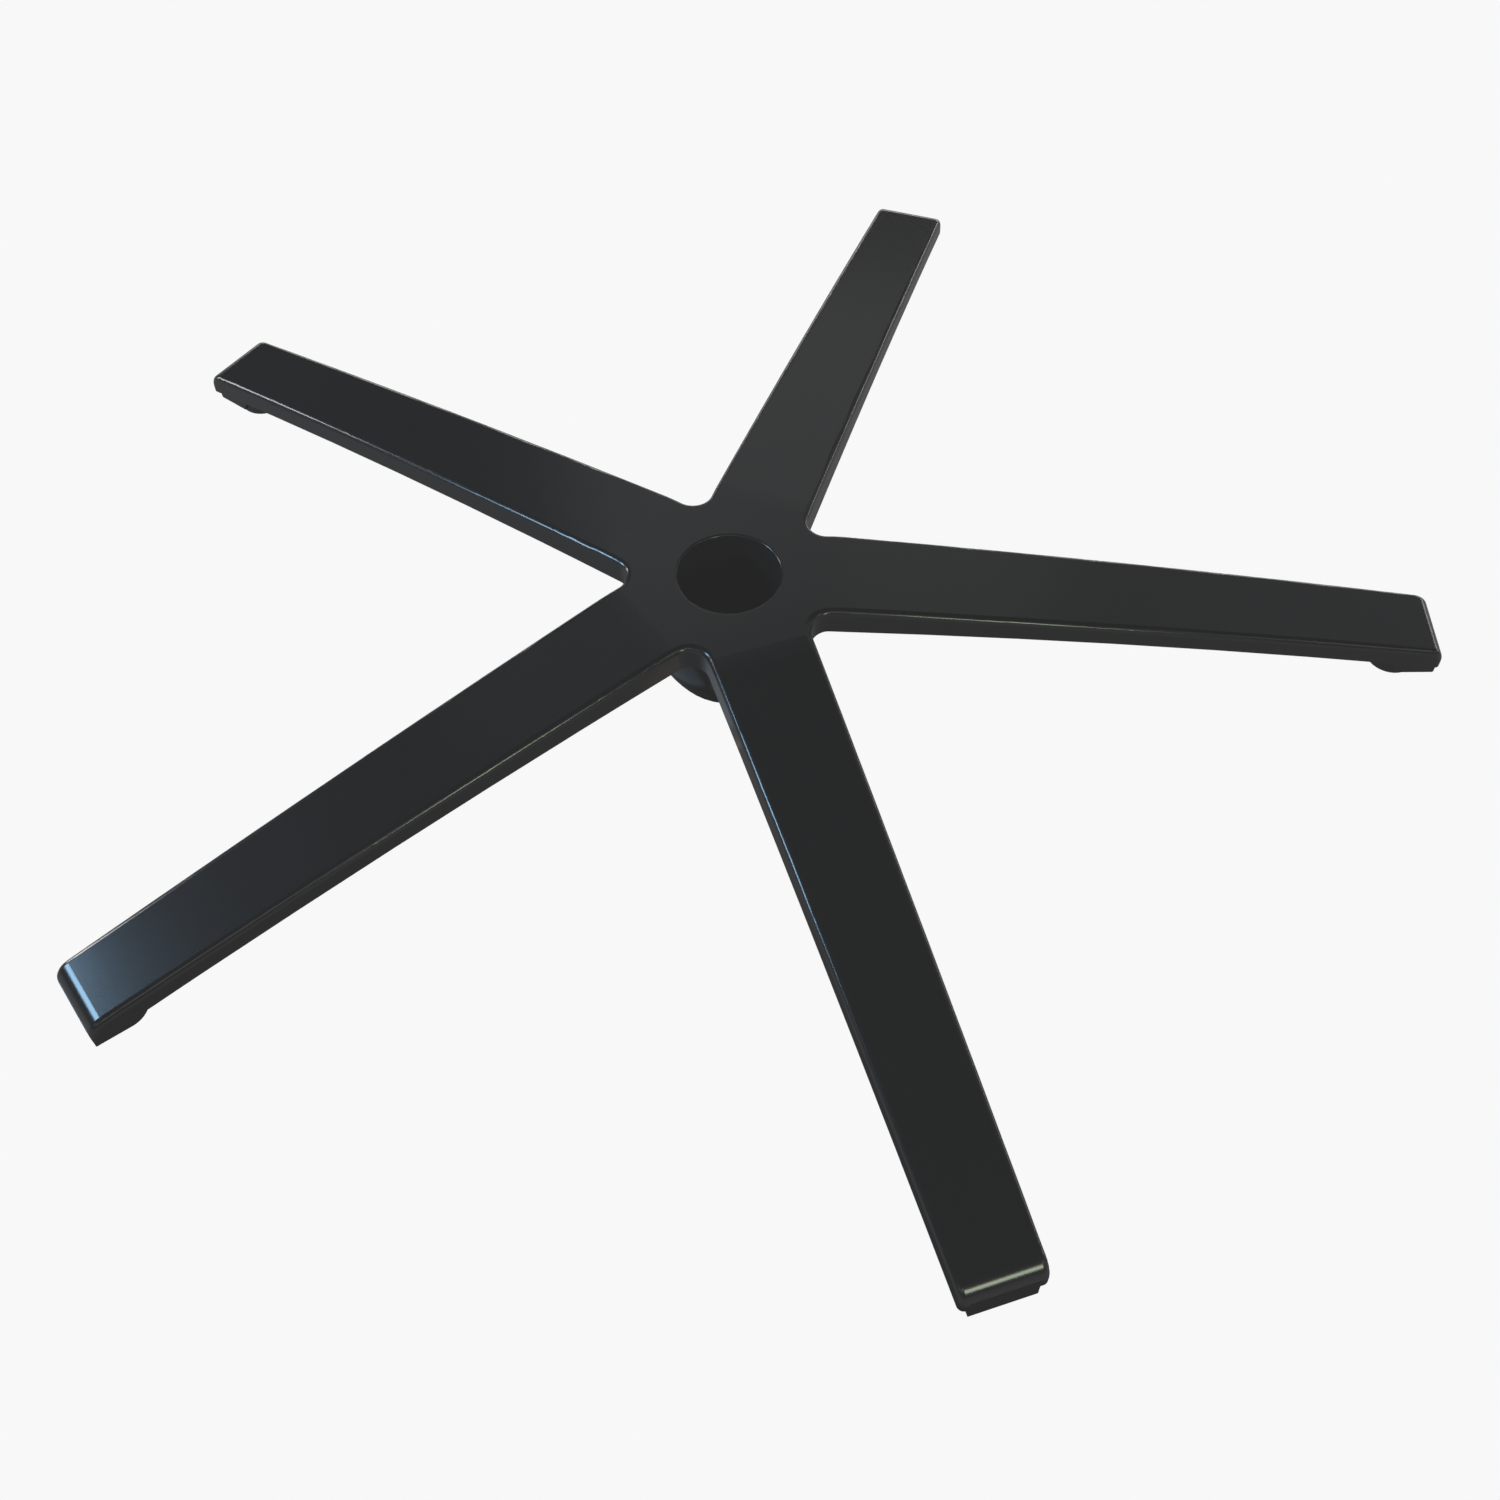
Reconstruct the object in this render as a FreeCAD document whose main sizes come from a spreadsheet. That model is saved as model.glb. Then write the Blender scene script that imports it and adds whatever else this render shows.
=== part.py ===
"""Five star base of a swivel office chair: one die casting with a hub, five arms and castor sockets."""
import FreeCAD
import Part
import Sketcher
import os

# Driving dimensions in millimetres and degrees.
# The hub's top face is the plane z = 0, the column's axis is the Z axis, and one arm points along X.
SIZES = {
    # The star in plan
    "arm_count": 5,
    "tip_radius": 350.0,
    "arm_width_root": 50.5,
    "arm_width_tip": 37.7,
    "valley_round": 9.5,
    "side_draft": 0.5,
    # An arm seen from the side
    "shoulder_gap": 0.5,
    "shoulder_radius": 80.0,
    "arm_slope": 6.57,
    "crown_radius": 6440.0,
    "tip_round": 9.0,
    "edge_round": 3.0,
    "wall_depth_root": 14.4,
    "wall_depth_tip": 11.3,
    "lower_edge_radius": 3470.0,
    # The hub
    "hub_height": 61.0,
    "bell_radius": 45.0,
    "bell_bow_radius": 100.0,
    "foot_radius": 31.5,
    "column_diameter": 50.0,
    "column_taper": 1.4378,
    "mouth_round": 1.2,
    # The pods under the arm ends, with the castor sockets
    "pod_width": 30.0,
    "pod_depth": 21.3,
    "pod_round": 2.5,
    "ramp_length": 24.0,
    "ramp_bow_radius": 40.0,
    "socket_inset": 17.0,
    "socket_diameter": 11.0,
    "socket_depth": 22.0,
    "boss_diameter": 25.0,
    "boss_height": 2.0,
    # The hollow underside
    "roof_thickness": 4.0,
    "wall_thickness": 3.8,
    "core_corner": 4.0,
    "rib_thickness": 3.0,
    "cross_rib_start": 105.0,
    "cross_rib_pitch": 55.0,
    "cross_rib_count": 4,
    # How far a cutting shape runs past what it cuts
    "cut_margin": 10.0,
}

# How close, in millimetres, two places are taken to be the same.
SAME_PLACE = 0.01

doc = FreeCAD.newDocument("five_star_base")
sheet = doc.addObject("Spreadsheet::Sheet", "sizes")
for row, (alias, number) in enumerate(SIZES.items(), start=1):
    sheet.set(f"A{row}", alias)
    sheet.set(f"B{row}", str(number))
    sheet.setAlias(f"B{row}", alias)
doc.recompute()


def with_sizes(formula):
    """A formula written with bare size names, as an expression that reads them from the sheet."""
    for alias in SIZES:
        formula = formula.replace(f"[{alias}]", f"sizes.{alias}")
    return f"({formula})"


def number_of(formula):
    """The number that a formula gives with the sheet's present values."""
    return float(sheet.evalExpression(with_sizes(formula)))


# Half the angle between two arms, and how much an arm edge closes in per millimetre along the arm.
HALF_PITCH = "(180 deg / [arm_count])"
TAPER = "(([arm_width_root] - [arm_width_tip]) / 2 / ([tip_radius] - [bell_radius]))"

# Angle between an arm's edge and the line midway between two arms.
EDGE_ANGLE = f"({HALF_PITCH} + atan({TAPER}))"


def gap_apex(inset):
    """Where two arm edges, moved in by inset, would meet on the line midway between the arms."""
    edge_offset = f"([arm_width_tip] / 2 + {TAPER} * [tip_radius] - {inset})"
    return f"({edge_offset} / (tan({HALF_PITCH}) + {TAPER}) / cos({HALF_PITCH}))"


def gap_touch(inset, corner_round):
    """Where the round root of a gap runs into an arm's edge: along that midway line, and to its side."""
    along = f"({gap_apex(inset)} + {corner_round} * cos({EDGE_ANGLE}) ^ 2 / sin({EDGE_ANGLE}))"
    return along, f"({corner_round} * cos({EDGE_ANGLE}))"


ROOT_ALONG, ROOT_ASIDE = gap_touch("0", "[valley_round]")

# The hub's flat top reaches a little past the gaps' roots, and the shoulder's arc starts there.
FLAT_REACH = f"({ROOT_ALONG} * cos({HALF_PITCH}) + {ROOT_ASIDE} * sin({HALF_PITCH}) + [shoulder_gap])"

# Centre of the crown, the long arc along the top of an arm, which runs on from the shoulder's arc.
CROWN_X = f"({FLAT_REACH} + ([shoulder_radius] - [crown_radius]) * sin([arm_slope]))"
CROWN_Z = "(([shoulder_radius] - [crown_radius]) * cos([arm_slope]) - [shoulder_radius])"


def crown_height(along, inset="0"):
    """Height of an arm's top line at a distance from the axis, or of a line that lies inset below it."""
    return f"({CROWN_Z} + sqrt(([crown_radius] - {inset}) ^ 2 - ({along} - {CROWN_X}) ^ 2))"


SOCKET_CIRCLE = "([tip_radius] - [socket_inset])"
RAMP_START = f"({SOCKET_CIRCLE} - [ramp_length])"
POD_FACE = f"({crown_height('[tip_radius]')} - [pod_depth])"
BOSS_FACE = f"({POD_FACE} - [boss_height])"
CUT_DEPTH = f"([cut_margin] - {BOSS_FACE})"

# Width of an arm before the gaps are cut: enough to reach the gaps' roots, and no further past them.
BLANK_WIDTH = f"(2 * {ROOT_ALONG} * sin({HALF_PITCH}))"


def plane(body, role):
    """One of a body's own origin planes or axes."""
    return next(item for item in body.Origin.OriginFeatures if item.Role == role)


def bind_size(item, path, formula):
    """Tie one value of an object to a formula."""
    item.setExpression(path, with_sizes(formula))


def new_sketch(body, name, role, turn="0", height="0"):
    """A sketch on one of the body's planes, turned about the plane's normal and lifted along it."""
    sketch = body.newObject("Sketcher::SketchObject", name)
    sketch.AttachmentSupport = (plane(body, role), [""])
    sketch.MapMode = "FlatFace"
    bind_size(sketch, "AttachmentOffset.Rotation.Angle", turn)
    bind_size(sketch, "AttachmentOffset.Base.z", height)
    return sketch


def constrain(sketch, constraint, name, formula):
    """Add a constraint to a sketch and tie its value to a formula."""
    index = sketch.addConstraint(constraint)
    sketch.renameConstraint(index, name)
    bind_size(sketch, f"Constraints.{name}", formula)


def arc_between(start, end, radius):
    """Arc from start to end, turning left for a positive radius and right for a negative one."""
    chord = end - start
    rise = (radius * radius - chord.Length ** 2 / 4) ** 0.5
    across = FreeCAD.Vector(-chord.y, chord.x, 0).normalize()
    centre = (start + end) / 2 + across * (rise if radius > 0 else -rise)
    circle = Part.Circle(centre, FreeCAD.Vector(0, 0, 1), abs(radius))
    ends = (end, start) if radius < 0 else (start, end)
    return Part.ArcOfCircle(circle, *(circle.parameter(point) for point in ends))


def draw_outline(sketch, corners):
    """Closed outline: each corner is (across, up) and, where an arc follows it, the arc's radius.

    The radius is a formula, with a minus sign in front where the arc turns right.
    """
    places = [FreeCAD.Vector(number_of(across), number_of(up), 0) for across, up, *_ in corners]
    starts = []
    for index, corner in enumerate(corners):
        here = places[index]
        after = places[(index + 1) % len(corners)]
        if len(corner) == 2:
            geometry = sketch.addGeometry(Part.LineSegment(here, after), False)
            starts.append((geometry, 1, 2))
            continue
        turns_right = corner[2].startswith("-")
        radius = corner[2].lstrip("-")
        bow = -number_of(radius) if turns_right else number_of(radius)
        geometry = sketch.addGeometry(arc_between(here, after, bow), False)
        starts.append((geometry, 2, 1) if turns_right else (geometry, 1, 2))
        constrain(sketch, Sketcher.Constraint("Radius", geometry, abs(bow)), f"radius_{index}", radius)
    for index, corner in enumerate(corners):
        geometry, first, _ = starts[index]
        before, _, last = starts[index - 1]
        sketch.addConstraint(Sketcher.Constraint("Coincident", before, last, geometry, first))
        across = Sketcher.Constraint("DistanceX", -1, 1, geometry, first, places[index].x)
        constrain(sketch, across, f"across_{index}", corner[0])
        up = Sketcher.Constraint("DistanceY", -1, 1, geometry, first, places[index].y)
        constrain(sketch, up, f"up_{index}", corner[1])


def draw_circle(sketch, across, diameter):
    """Circle whose centre lies on the sketch's horizontal axis."""
    centre = FreeCAD.Vector(number_of(across), 0, 0)
    upward = FreeCAD.Vector(0, 0, 1)
    circle = sketch.addGeometry(Part.Circle(centre, upward, number_of(diameter) / 2), False)
    sketch.addConstraint(Sketcher.Constraint("PointOnObject", circle, 3, -1))
    reach = Sketcher.Constraint("DistanceX", -1, 1, circle, 3, centre.x)
    constrain(sketch, reach, "across", across)
    width = Sketcher.Constraint("Diameter", circle, number_of(diameter))
    constrain(sketch, width, "diameter", diameter)


def section(body, name, corners):
    """Sketch of an outline in the upright plane along one arm."""
    sketch = new_sketch(body, f"{name}_section", "XZ_Plane")
    draw_outline(sketch, corners)
    return sketch


def revolve(body, name, corners, kind="PartDesign::Revolution"):
    """Full turn of a section about the column's axis, added to the body or cut out of it."""
    sketch = section(body, name, corners)
    feature = body.newObject(kind, name)
    feature.Profile = sketch
    feature.ReferenceAxis = (sketch, ["V_Axis"])
    feature.Angle = 360
    return feature


def pad_across(body, name, corners, width):
    """Section of an arm, padded to a width across the arm."""
    sketch = section(body, name, corners)
    feature = body.newObject("PartDesign::Pad", name)
    feature.Profile = sketch
    feature.SideType = "Symmetric"
    bind_size(feature, "Length", width)
    return feature


def pocket(body, name, sketch, length, upward=False, draft="0"):
    """Cut downwards from a sketch, or upwards, over a length."""
    feature = body.newObject("PartDesign::Pocket", name)
    feature.Profile = sketch
    feature.Reversed = upward
    bind_size(feature, "Length", length)
    bind_size(feature, "TaperAngle", draft)
    return feature


def repeat_round(body, name, features):
    """Copies of features about the column's axis, one for each arm."""
    pattern = body.newObject("PartDesign::PolarPattern", name)
    pattern.Originals = features
    pattern.Axis = (plane(body, "Z_Axis"), [""])
    pattern.Angle = 360
    bind_size(pattern, "Occurrences", "[arm_count]")
    body.Tip = pattern
    return pattern


def round_edges(body, name, base, radius, wanted):
    """Fillet on the edges of a feature that pass a test."""
    doc.recompute()
    edges = enumerate(base.Shape.Edges, start=1)
    feature = body.newObject("PartDesign::Fillet", name)
    feature.Base = (base, [f"Edge{index}" for index, edge in edges if wanted(edge)])
    bind_size(feature, "Radius", radius)
    body.Tip = feature
    return feature


def gap_outline(inset, corner_round):
    """Gap between two arms, on the line midway between them, with the arm edges moved in by inset."""
    touch_x, touch_y = gap_touch(inset, corner_round)
    outer_x = "([tip_radius] + [cut_margin])"
    outer_y = f"(({outer_x} - {gap_apex(inset)}) * tan({EDGE_ANGLE}))"
    return [
        (touch_x, f"-{touch_y}"),
        (outer_x, f"-{outer_y}"),
        (outer_x, outer_y),
        (touch_x, touch_y, corner_round),
    ]


def cut_gaps(body, inset, corner_round):
    """Cut the gaps between the arms, each a little narrower towards the bottom."""
    outline = new_sketch(body, f"{body.Name}_gap_outline", "XY_Plane", turn=HALF_PITCH)
    draw_outline(outline, gap_outline(inset, corner_round))
    gap = pocket(body, f"{body.Name}_gap", outline, CUT_DEPTH, draft="-[side_draft]")
    return repeat_round(body, f"{body.Name}_gaps", [gap])


# The casting's outside: five broad blanks with the arms' side view and a bell below, cut into a star.
casting = doc.addObject("PartDesign::Body", "casting")


def arm_outline():
    """Side view of an arm from the axis out: flat, shoulder, crown, rounded end, and the lower edge back."""
    shoulder_x = f"({FLAT_REACH} + [shoulder_radius] * sin([arm_slope]))"
    shoulder_z = "([shoulder_radius] * (cos([arm_slope]) - 1))"
    round_x = "([tip_radius] - [tip_round])"
    round_z = crown_height(round_x, inset="[tip_round]")
    stretch = "([crown_radius] / ([crown_radius] - [tip_round]))"
    touch_x = f"({CROWN_X} + ({round_x} - {CROWN_X}) * {stretch})"
    touch_z = f"({CROWN_Z} + ({round_z} - {CROWN_Z}) * {stretch})"
    edge_tip_z = f"({crown_height('[tip_radius]')} - [wall_depth_tip])"
    edge_root_z = f"({crown_height('[bell_radius]')} - [wall_depth_root])"
    return [
        ("0", "0"),
        (FLAT_REACH, "0", "-[shoulder_radius]"),
        (shoulder_x, shoulder_z, "-[crown_radius]"),
        (touch_x, touch_z, "-[tip_round]"),
        ("[tip_radius]", round_z),
        ("[tip_radius]", edge_tip_z, "[lower_edge_radius]"),
        ("[bell_radius]", edge_root_z),
        ("0", edge_root_z),
    ]


def bell_outline():
    """Half section of the bell, from inside the arms' roots down to its foot."""
    rim_z = f"({crown_height('[bell_radius]')} - [wall_depth_root])"
    return [
        ("0", f"({rim_z} / 2)"),
        ("[bell_radius]", f"({rim_z} / 2)"),
        ("[bell_radius]", rim_z, "-[bell_bow_radius]"),
        ("[foot_radius]", "(-[hub_height])"),
        ("0", "(-[hub_height])"),
    ]


blank = pad_across(casting, "arm_blank", arm_outline(), BLANK_WIDTH)
repeat_round(casting, "arm_blanks", [blank])
revolve(casting, "bell", bell_outline())
star = cut_gaps(casting, "0", "[valley_round]")


def is_gap_root(edge):
    """The round root of a gap in the hub's top face, from which the rounding runs on along both arms."""
    box = edge.BoundBox
    level = abs(box.ZMin) < SAME_PLACE and abs(box.ZMax) < SAME_PLACE
    return level and isinstance(edge.Curve, Part.Circle)


round_edges(casting, "rounded_star", star, "[edge_round]", is_gap_root)


# A pod under the end of each arm, with a round boss and the blind socket for a castor's stem.
def pod_outline():
    """Side view of a pod: a bowed ramp down to a flat face, flush with the arm's end."""
    return [
        (RAMP_START, f"({crown_height(RAMP_START)} - [wall_depth_tip] / 2)", "-[ramp_bow_radius]"),
        (SOCKET_CIRCLE, POD_FACE),
        ("[tip_radius]", POD_FACE),
        ("[tip_radius]", f"({crown_height('[tip_radius]')} - [wall_depth_tip] / 2)"),
    ]


def is_pod_edge(edge):
    """An edge round a pod's lower face, apart from the one at its ramp."""
    box = edge.BoundBox
    level = number_of(POD_FACE)
    middle = edge.valueAt((edge.FirstParameter + edge.LastParameter) / 2)
    reach = FreeCAD.Vector(middle.x, middle.y, 0).Length
    flat = abs(box.ZMin - level) < SAME_PLACE and abs(box.ZMax - level) < SAME_PLACE
    return flat and reach > number_of(SOCKET_CIRCLE) + SAME_PLACE


pod = pad_across(casting, "pod", pod_outline(), "[pod_width]")
pods = repeat_round(casting, "pods", [pod])
round_edges(casting, "rounded_pods", pods, "[pod_round]", is_pod_edge)

boss_outline = new_sketch(casting, "boss_outline", "XY_Plane", height=BOSS_FACE)
draw_circle(boss_outline, SOCKET_CIRCLE, "[boss_diameter]")
boss = casting.newObject("PartDesign::Pad", "boss")
boss.Profile = boss_outline
bind_size(boss, "Length", "[boss_height] + [pod_depth] / 2")

socket_outline = new_sketch(casting, "socket_outline", "XY_Plane", height=BOSS_FACE)
draw_circle(socket_outline, SOCKET_CIRCLE, "[socket_diameter]")
socket = pocket(casting, "socket", socket_outline, "[socket_depth]", upward=True)
repeat_round(casting, "sockets", [boss, socket])


def column_outline():
    """Half section of the tapered column, past both faces of the hub."""
    above = "[cut_margin]"
    below = "(-[hub_height] - [cut_margin])"
    mouth = "[column_diameter] / 2"
    return [
        ("0", above),
        ("0", below),
        (f"({mouth} + {below} * tan([column_taper]))", below),
        (f"({mouth} + {above} * tan([column_taper]))", above),
    ]


def is_mouth_edge(edge):
    """The circle where the column's socket opens in the hub's top face."""
    box = edge.BoundBox
    mouth = number_of("[column_diameter] / 2")
    return abs(box.ZMin) < SAME_PLACE and abs(box.ZMax) < SAME_PLACE and abs(box.XMax - mouth) < SAME_PLACE


column_socket = revolve(casting, "column_socket", column_outline(), "PartDesign::Groove")
round_edges(casting, "mouth", column_socket, "[mouth_round]", is_mouth_edge)

# The core that hollows the arms from below: a channel in each arm, with slots where the ribs stay.
core = doc.addObject("PartDesign::Body", "core")


def channel_outline():
    """Side view of a channel: its roof along the arm from a wall at the bell on, and down past all faces."""
    start = "([bell_radius] + [wall_thickness])"
    return [
        (start, f"({crown_height(start)} - [roof_thickness])", "-[crown_radius]"),
        (RAMP_START, f"({crown_height(RAMP_START)} - [roof_thickness])"),
        (RAMP_START, f"(-{CUT_DEPTH})"),
        (start, f"(-{CUT_DEPTH})"),
    ]


channel = pad_across(core, "channel", channel_outline(), BLANK_WIDTH)
repeat_round(core, "channels", [channel])
cut_gaps(core, "[wall_thickness]", "[core_corner]")


def core_slot(name, start, end, thickness):
    """Slot in the core, from one distance from the axis to another along an arm."""
    outline = new_sketch(core, f"{name}_outline", "XY_Plane")
    half = f"({thickness} / 2)"
    draw_outline(outline, [(start, f"-{half}"), (end, f"-{half}"), (end, half), (start, half)])
    return pocket(core, name, outline, CUT_DEPTH)


slots = [core_slot("spine", "[bell_radius]", "[tip_radius]", "[rib_thickness]")]
for index in range(int(number_of("[cross_rib_count]"))):
    middle = f"[cross_rib_start] + {index} * [cross_rib_pitch]"
    near_side = f"({middle} - [rib_thickness] / 2)"
    far_side = f"({middle} + [rib_thickness] / 2)"
    slots.append(core_slot(f"cross_rib_{index + 1}", near_side, far_side, "[arm_width_root]"))
repeat_round(core, "ribs", slots)

base = doc.addObject("Part::Cut", "five_star_base")
base.Label = "five_star_base"
base.Base = casting
base.Tool = core
doc.recompute()

for item in doc.Objects:
    if "Invalid" in item.State or "Error" in item.State:
        raise RuntimeError(f"{item.Label} failed: {item.State}")
if base.Shape.isNull() or not base.Shape.isValid() or len(base.Shape.Solids) != 1:
    raise RuntimeError(f"{base.Label} is not one valid solid")

os.makedirs("parts", exist_ok=True)
base.Shape.exportStep(f"parts/{base.Label}.step")
print(base.Label, "volume", round(base.Shape.Volume), "cubic millimetres")
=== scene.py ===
"""Studio scene of a black five star swivel-chair base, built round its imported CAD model."""
import math

import bpy
from mathutils import Euler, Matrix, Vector


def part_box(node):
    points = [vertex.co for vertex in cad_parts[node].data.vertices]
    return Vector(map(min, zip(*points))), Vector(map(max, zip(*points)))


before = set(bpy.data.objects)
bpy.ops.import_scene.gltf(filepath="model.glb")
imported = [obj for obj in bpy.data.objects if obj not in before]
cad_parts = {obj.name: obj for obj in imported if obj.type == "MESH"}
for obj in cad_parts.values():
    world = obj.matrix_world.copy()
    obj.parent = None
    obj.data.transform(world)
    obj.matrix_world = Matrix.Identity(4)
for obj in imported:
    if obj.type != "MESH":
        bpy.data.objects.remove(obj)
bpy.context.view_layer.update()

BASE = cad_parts["five_star_base"]
FLOOR_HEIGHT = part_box("five_star_base")[0].z

# Camera, fitted to the photograph: metres, degrees and millimetres
CAMERA_PLACE = (0.54767, -0.16142, 0.62919)
CAMERA_TURN = (36.4946, 0.6039, 71.9172)
CAMERA_LENS = 42.453
SENSOR_WIDTH = 36.0

# How far the picture's blacks are lifted
BLACK_LIFT = 0.0185

# Sizes in metres of the floor, of the dome round it and of the dark disc of painted shade below the
# column's socket
FLOOR_SIZE = 12.0
BACKDROP_RADIUS = 9.0
SHADE_DISC_RADIUS = 0.032

# Brightness of the floor and the dome
FLOOR_GLOW = 0.938

# Light of the surroundings by height, from straight down at 0 to straight up at 1
SURROUNDINGS = (
    (0.0, 0.01), (0.06, 0.03), (0.12, 0.15), (0.3, 0.3), (0.46, 0.3), (0.52, 0.2), (0.57, 0.012),
)

# Softboxes: name, azimuth and elevation in degrees, distance from the hub, width and height in metres,
# power in watts, and colour
SOFTBOXES = (
    ("window", 257.8, 26.9, 0.8, 0.22, 0.2, 3.0, (0.4, 0.69, 1.0)),
    ("tall_window", 228.7, 17.0, 1.18, 0.17, 0.4, 3.2, (0.95, 0.97, 1.0)),
    ("lamp", 9.4, 20.0, 0.89, 0.17, 0.18, 1.1, (0.86, 1.0, 0.74)),
    ("room", 155.5, 34.0, 1.8, 1.36, 1.05, 1.56, (0.97, 0.985, 1.0)),
    ("room_top", 183.0, 53.0, 1.8, 0.8, 0.45, 0.16, (0.97, 0.985, 1.0)),
    ("side", 106.0, 30.0, 1.8, 1.1, 0.9, 0.62, (0.9, 0.95, 1.0)),
    ("skyline", 140.0, 0.0, 2.2, 6.0, 0.22, 16.0, (1.0, 1.0, 0.94)),
    ("front", -12.0, 40.0, 2.0, 0.9, 0.5, 1.6, (1.0, 1.0, 1.0)),
    ("fill", 38.0, 32.0, 2.0, 0.7, 0.7, 1.4, (1.0, 0.98, 0.95)),
    ("low_front", 315.0, 26.0, 2.0, 1.6, 0.7, 1.8, (0.97, 0.985, 1.0)),
    ("low_fill", 62.0, 14.0, 2.2, 2.4, 0.55, 1.4, (0.97, 0.985, 1.0)),
    ("cool_bounce", -75.0, -48.0, 0.085, 0.05, 0.04, 0.0012, (0.5, 0.76, 1.0)),
    ("warm_bounce", -15.0, -48.0, 0.085, 0.04, 0.04, 0.0008, (1.0, 0.72, 0.5)),
)

BLACK = (0.0, 0.0, 0.0, 1.0)
WHITE = (1.0, 1.0, 1.0, 1.0)

# Powder coat: the mottle runs between the two colours, and the grain between the two roughnesses
COAT_COLOUR = (0.008, 0.0082, 0.009, 1.0)
COAT_COLOUR_LIGHT = (0.0105, 0.0107, 0.0115, 1.0)
COAT_ROUGHNESS = (0.195, 0.225)

# Noises of the coat, as turns per metre and detail, and the part of the grain's range that is used
MOTTLE = (38.0, 4.0)
PEEL = (700.0, 2.0)
GRAIN = (2600.0, 3.0)
GRAIN_RANGE = (0.3, 0.7)

# Orange peel: height in metres, and how strongly it shows
PEEL_HEIGHT = 0.00006
PEEL_STRENGTH = 0.03


def set_inputs(node, **inputs):
    """Set some of a node's inputs; an underscore stands for a space in a name."""
    for name, value in inputs.items():
        node.inputs[name.replace("_", " ")].default_value = value


def add_node(tree, kind, **inputs):
    """A shader node with some of its inputs set."""
    node = tree.nodes.new(kind)
    set_inputs(node, **inputs)
    return node


def new_material(name):
    """A material, its node tree and its shader."""
    material = bpy.data.materials.new(name)
    material.use_nodes = True
    tree = material.node_tree
    return material, tree, tree.nodes["Principled BSDF"]


def noise(tree, place, scale, detail):
    """Noise in the object's own coordinates."""
    node = add_node(tree, "ShaderNodeTexNoise", Scale=scale, Detail=detail)
    tree.links.new(place, node.inputs["Vector"])
    return node.outputs["Fac"]


def remap(tree, value, start, end, low, high):
    """Map the range from start to end onto the range from low to high."""
    node = add_node(
        tree, "ShaderNodeMapRange", From_Min=start, From_Max=end, To_Min=low, To_Max=high,
    )
    tree.links.new(value, node.inputs["Value"])
    return node.outputs["Result"]


def powder_coat():
    """Black semi-gloss powder coat with orange peel, a fine grain and a slight mottle."""
    material, tree, shader = new_material("powder_coat")
    place = tree.nodes.new("ShaderNodeTexCoord").outputs["Object"]

    mottle = noise(tree, place, *MOTTLE)
    peel = noise(tree, place, *PEEL)
    grain = noise(tree, place, *GRAIN)

    colour = tree.nodes.new("ShaderNodeMix")
    colour.data_type = "RGBA"
    set_inputs(colour, A=COAT_COLOUR, B=COAT_COLOUR_LIGHT)
    tree.links.new(mottle, colour.inputs["Factor"])
    tree.links.new(colour.outputs["Result"], shader.inputs["Base Color"])

    roughness = remap(tree, grain, *GRAIN_RANGE, *COAT_ROUGHNESS)
    tree.links.new(roughness, shader.inputs["Roughness"])

    bump = add_node(tree, "ShaderNodeBump", Strength=PEEL_STRENGTH, Distance=PEEL_HEIGHT)
    tree.links.new(peel, bump.inputs["Height"])
    tree.links.new(bump.outputs["Normal"], shader.inputs["Normal"])
    return material


def dull_surface(name, glow=0.0):
    """Surface that reflects next to nothing and glows evenly in white, if at all."""
    material, _, shader = new_material(name)
    set_inputs(shader, Base_Color=BLACK, Roughness=1.0, Specular_IOR_Level=0.0)
    set_inputs(shader, Emission_Color=WHITE, Emission_Strength=glow)
    return material


def finish_object(name, material):
    """Name the mesh object that was just added, and give it its material."""
    added = bpy.context.object
    added.name = name
    added.data.materials.append(material)
    return added


def add_floor(material):
    """Level floor that the castor bosses stand on; reflections and bounced light pass through it."""
    bpy.ops.mesh.primitive_plane_add(size=FLOOR_SIZE, location=(0.0, 0.0, FLOOR_HEIGHT))
    floor = finish_object("floor", material)
    floor.visible_glossy = False
    floor.visible_diffuse = False


def add_backdrop(material):
    """Pale dome that carries on the floor in low views; it neither lights nor shades the object."""
    bpy.ops.mesh.primitive_uv_sphere_add(radius=BACKDROP_RADIUS)
    backdrop = finish_object("backdrop", material)
    backdrop.visible_glossy = False
    backdrop.visible_diffuse = False
    backdrop.visible_shadow = False


def add_shade_disc(material):
    """Dark disc of painted shade on the floor below the column's socket, standing in for the hub's
    shadow there; it keeps light from below out of the socket, and the camera doesn't see it.
    """
    place = (0.0, 0.0, FLOOR_HEIGHT)
    bpy.ops.mesh.primitive_circle_add(radius=SHADE_DISC_RADIUS, fill_type="NGON", location=place)
    shade_disc = finish_object("shade_disc", material)
    shade_disc.visible_camera = False


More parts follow.
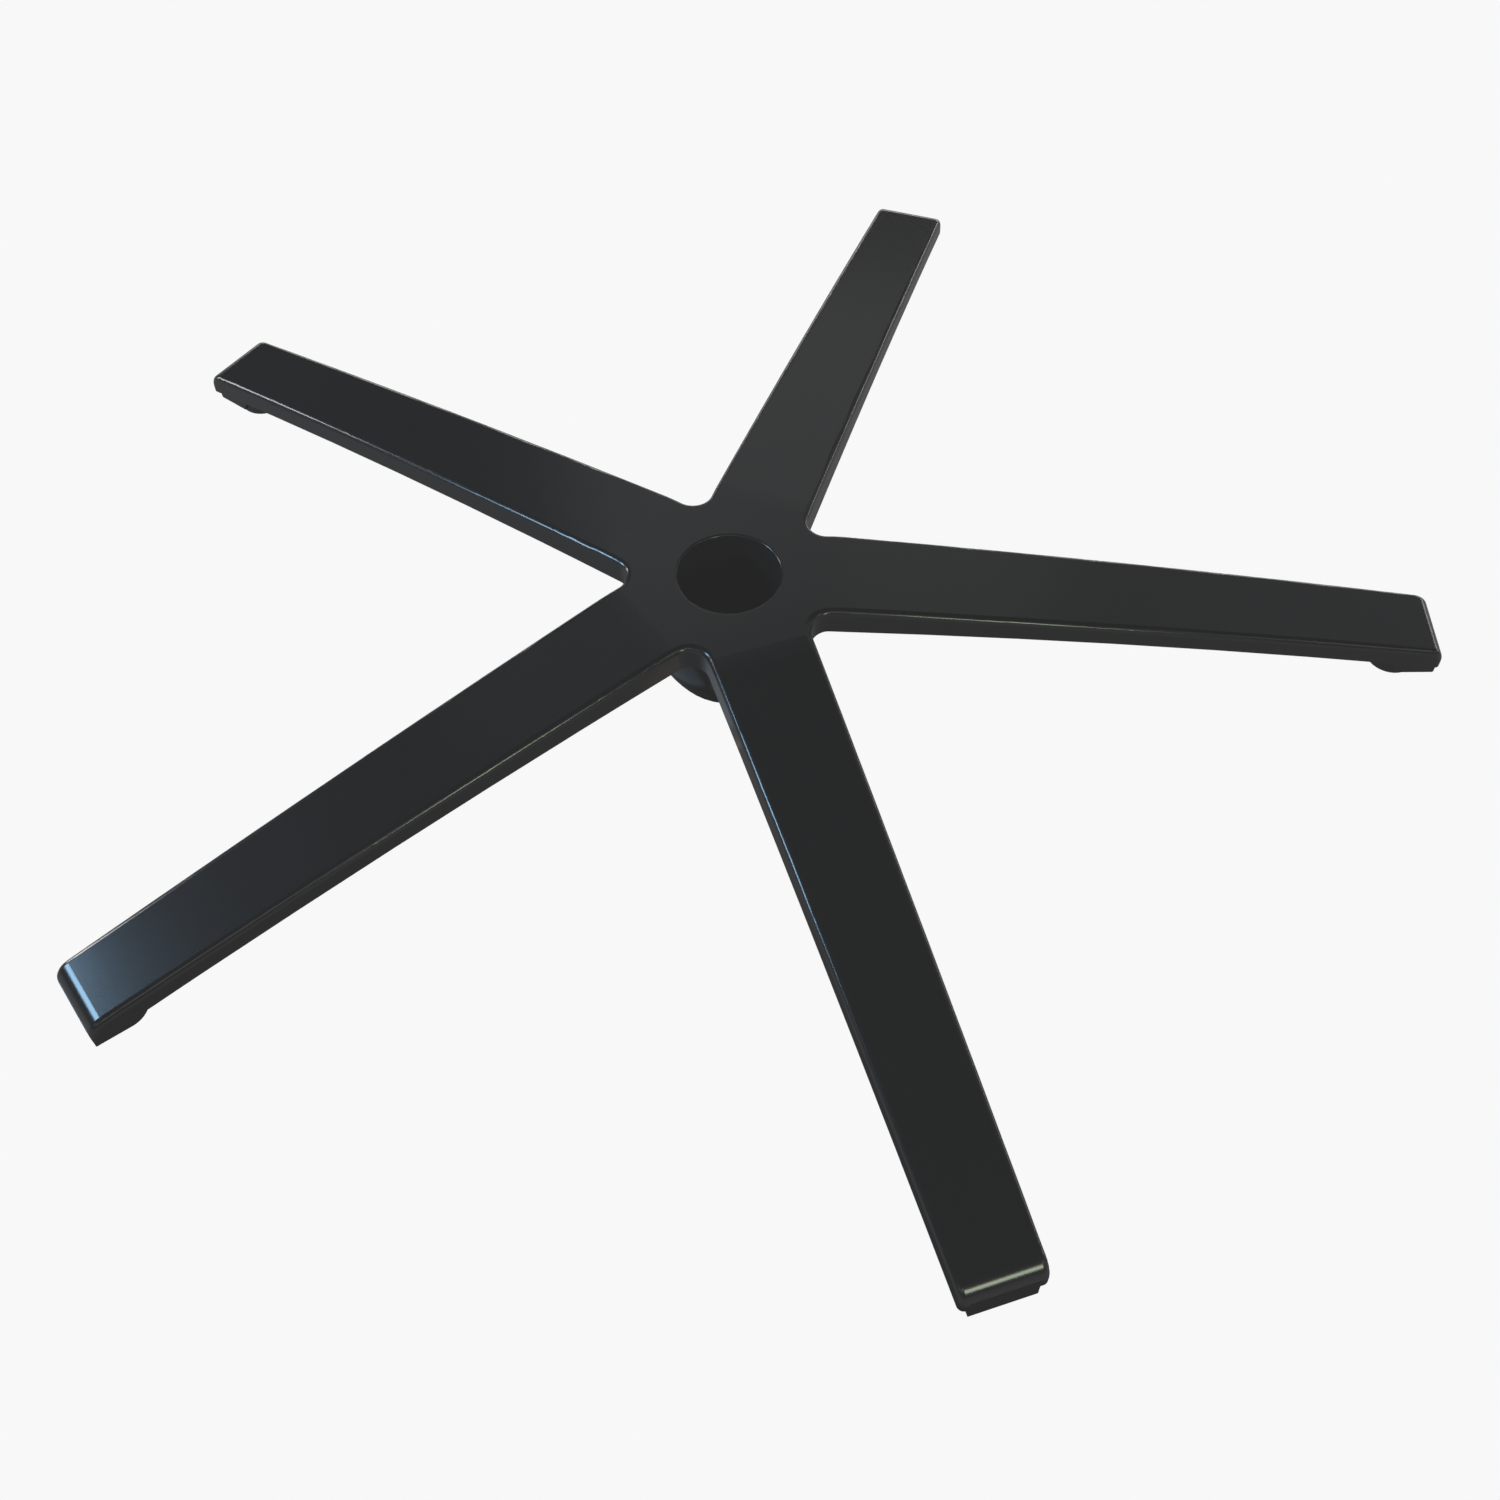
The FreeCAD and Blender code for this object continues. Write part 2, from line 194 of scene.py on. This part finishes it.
def add_world():
    """Surroundings that are pale about and below the horizon and dark overhead."""
    world = bpy.data.worlds.new("studio")
    world.use_nodes = True
    tree = world.node_tree
    direction = tree.nodes.new("ShaderNodeTexCoord").outputs["Generated"]
    split = tree.nodes.new("ShaderNodeSeparateXYZ")
    tree.links.new(direction, split.inputs["Vector"])
    height = remap(tree, split.outputs["Z"], -1.0, 1.0, 0.0, 1.0)
    ramp = tree.nodes.new("ShaderNodeValToRGB")
    tree.links.new(height, ramp.inputs["Fac"])
    stops = ramp.color_ramp.elements
    while len(stops) < len(SURROUNDINGS):
        stops.new(1.0)
    for stop, (place, light) in zip(stops, SURROUNDINGS):
        stop.position = place
        stop.color = (light, light, light, 1.0)
    tree.links.new(ramp.outputs["Color"], tree.nodes["Background"].inputs["Color"])
    bpy.context.scene.world = world


def add_softbox(name, azimuth, elevation, distance, width, height, power, colour):
    """Rectangular studio light in a direction from the hub, which it faces."""
    data = bpy.data.lights.new(name, "AREA")
    data.shape = "RECTANGLE"
    data.size = width
    data.size_y = height
    data.energy = power
    data.color = colour
    lamp = bpy.data.objects.new(name, data)
    turn = Euler((0.0, math.radians(-elevation), math.radians(azimuth)))
    lamp.location = turn.to_matrix() @ Vector((distance, 0.0, 0.0))
    lamp.rotation_euler = (-lamp.location).to_track_quat("-Z", "Y").to_euler()
    lamp.visible_camera = False
    bpy.context.scene.collection.objects.link(lamp)


def add_camera():
    """Camera at the photograph's viewing angle."""
    data = bpy.data.cameras.new("camera")
    data.sensor_width = SENSOR_WIDTH
    data.lens = CAMERA_LENS
    camera = bpy.data.objects.new("camera", data)
    camera.location = CAMERA_PLACE
    camera.rotation_euler = [math.radians(angle) for angle in CAMERA_TURN]
    bpy.context.scene.collection.objects.link(camera)
    bpy.context.scene.camera = camera


def grade_blacks():
    """Plain colours, with the blacks lifted a little as in the photograph."""
    settings = bpy.context.scene.view_settings
    settings.view_transform = "Standard"
    settings.use_curve_mapping = True
    settings.curve_mapping.black_level = (-BLACK_LIFT, -BLACK_LIFT, -BLACK_LIFT)
    settings.curve_mapping.update()


BASE.data.materials.clear()
BASE.data.materials.append(powder_coat())

pale = dull_surface("pale_floor", FLOOR_GLOW)
add_floor(pale)
add_backdrop(pale)
# Painted shade: a black disc below the column's socket stands in for the floor's shadow under the hub
add_shade_disc(dull_surface("painted_shade_black"))
add_world()
for softbox in SOFTBOXES:
    add_softbox(*softbox)
add_camera()
grade_blacks()
